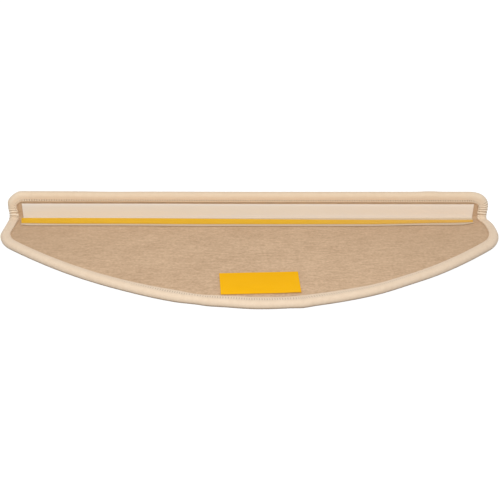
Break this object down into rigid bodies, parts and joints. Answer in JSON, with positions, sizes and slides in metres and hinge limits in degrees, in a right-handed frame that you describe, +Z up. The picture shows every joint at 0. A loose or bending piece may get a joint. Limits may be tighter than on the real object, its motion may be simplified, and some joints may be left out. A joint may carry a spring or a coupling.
{
  "type": "stair tread mat",
  "caption": "Half-moon carpet mat for a stair tread, with a whipped yarn edge and a lip for the nosing, lying on its pile so that its felt back, plastic angle and tape face up.",
  "frame": {"origin": "on the floor, under the centre of the mat's outer box", "axes": "+X along the lip, +Y from the rounded rear edge of the tread to the lip, +Z up: the way the lip stands while the mat lies on its pile"},
  "size_m": [0.6498, 0.235, 0.047],
  "materials": {
    "carpet": "needled felt back, short pile face",
    "binding_yarn": "soft whipped yarn",
    "sewing_thread": "twisted thread",
    "cream_plastic": "satin extruded plastic",
    "tape_body": "adhesive foam",
    "yellow_cover": "waxed release paper"
  },
  "bodies": {
    "root": {"carpet": "carpet", "edge_binding": "binding_yarn", "lock_thread": "sewing_thread", "angle_profile": "cream_plastic", "profile_tape": "tape_body", "profile_tape_cover": "yellow_cover", "patch_tape": "tape_body", "patch_tape_cover": "yellow_cover"}
  },
  "joints": []
}
